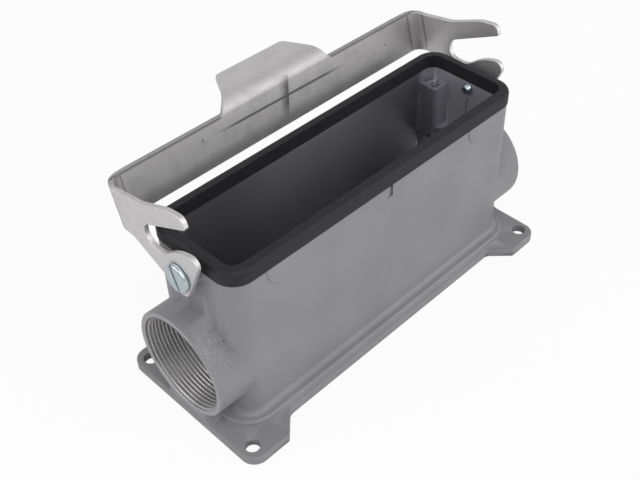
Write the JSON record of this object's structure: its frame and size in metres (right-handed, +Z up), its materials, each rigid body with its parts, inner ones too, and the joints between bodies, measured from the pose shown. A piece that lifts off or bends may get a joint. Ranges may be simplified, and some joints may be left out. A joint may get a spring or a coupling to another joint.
{
  "type": "surface mounting housing of a heavy duty rectangular connector",
  "caption": "Tall die cast surface mounting connector housing, open at the top, with rim seal, steel locking lever, threaded cable entries in both ends and a base plate with fixing ears",
  "frame": {"origin": "middle of the base plate's flat underside", "axes": "X along the housing's length through both cable entries, +Y towards the locking lever's bar, +Z up out of the open mouth"},
  "size_m": [0.1708, 0.0879, 0.0984],
  "materials": {
    "coated_casting": "matte powder coat on die cast aluminium",
    "seal_rubber": "matte",
    "stainless_sheet": "satin",
    "zinc_plated": "bright zinc plated",
    "spring_steel": "satin"
  },
  "bodies": {
    "base": {"housing": "coated_casting", "rim_seal": "seal_rubber", "pivot_screw_right": "zinc_plated", "pivot_screw_left": "zinc_plated", "spring_washer_right": "spring_steel", "spring_washer_left": "spring_steel"},
    "lever": {"locking_lever": "stainless_sheet"}
  },
  "joints": [
    {"name": "lever_hinge", "type": "hinge", "parent": "base", "child": "lever", "pos_m": [0, -0.0011, 0.0698], "axis": [1, 0, 0], "range_deg": [-48, 135]}
  ]
}
